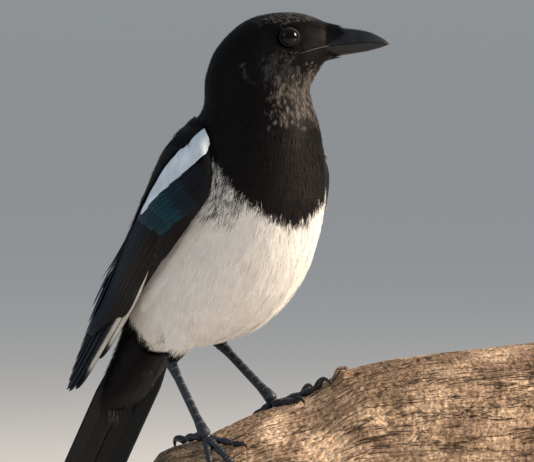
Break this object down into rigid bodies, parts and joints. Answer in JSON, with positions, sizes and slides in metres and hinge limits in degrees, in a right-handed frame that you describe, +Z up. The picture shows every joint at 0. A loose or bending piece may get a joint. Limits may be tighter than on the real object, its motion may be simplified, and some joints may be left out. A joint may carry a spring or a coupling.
{
  "type": "bird figure on perch stand",
  "caption": "Life-size still model of a perched eurasian magpie with a long hanging tail, gripping a cut length of weathered log held on rods over a round base.",
  "frame": {"origin": "centre of the round base's underside", "axes": "+X the way the bird's body faces, +Y the bird's left, +Z up along the stand"},
  "size_m": [0.3259, 0.245, 0.3836],
  "materials": {
    "black_plumage": "black contour feathers with a soft sheen",
    "white_plumage": "soft white body feathers",
    "wing_plumage": "glossy blue-black flight feathers with a blue-green gloss",
    "bill_horn": "smooth black horn, satin gloss",
    "claw_horn": "polished black horn",
    "eye": "wet dark brown eye",
    "leg_scales": "blue-black scaly skin",
    "log_wood": "weathered grey-brown wood with long cracks",
    "stand_wood": "dark stained satin wood",
    "stand_metal": "brushed steel"
  },
  "bodies": {
    "root": {"head": "black_plumage", "neck": "black_plumage", "torso": "white_plumage", "bill_upper": "bill_horn", "bill_lower": "bill_horn", "eye_left": "eye", "eye_right": "eye", "wing_left": "wing_plumage", "wing_right": "wing_plumage", "tail": "wing_plumage", "thigh_left": "black_plumage", "thigh_right": "black_plumage", "tarsus_left": "leg_scales", "tarsus_right": "leg_scales", "foot_left": "leg_scales", "foot_right": "leg_scales", "claw_left_hind": "claw_horn", "claw_left_inner": "claw_horn", "claw_left_middle": "claw_horn", "claw_left_outer": "claw_horn", "claw_right_hind": "claw_horn", "claw_right_inner": "claw_horn", "claw_right_middle": "claw_horn", "claw_right_outer": "claw_horn", "perch_log": "log_wood", "stand_base": "stand_wood", "stand_rod_near": "stand_metal", "stand_rod_far": "stand_metal"}
  },
  "joints": []
}
